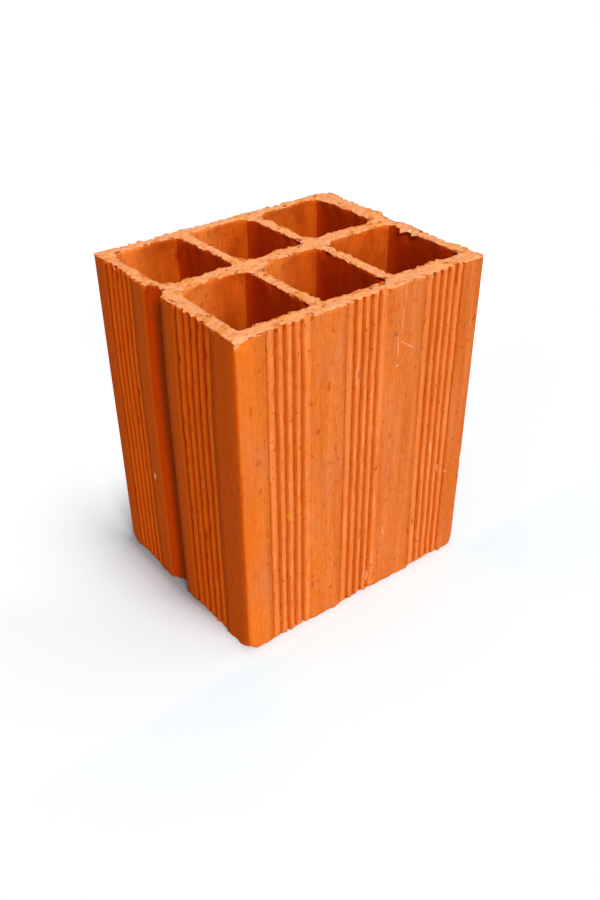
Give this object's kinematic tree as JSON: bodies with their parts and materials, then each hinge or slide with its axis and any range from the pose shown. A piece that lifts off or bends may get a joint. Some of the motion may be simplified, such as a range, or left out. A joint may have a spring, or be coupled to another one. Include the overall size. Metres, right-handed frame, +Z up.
{
  "type": "hollow clay brick",
  "caption": "Fired clay hollow building block with through cells, ribbed faces and a mortar keyway in each short face.",
  "frame": {"origin": "middle of the lower wire-cut end, at the block's base", "axes": "+Z up along the cells, +X along the long faces, +Y from the front long face to the back one"},
  "size_m": [0.156, 0.128, 0.19],
  "materials": {
    "fired_clay": "matte"
  },
  "bodies": {
    "root": {"hollow_clay_block": "fired_clay"}
  },
  "joints": []
}
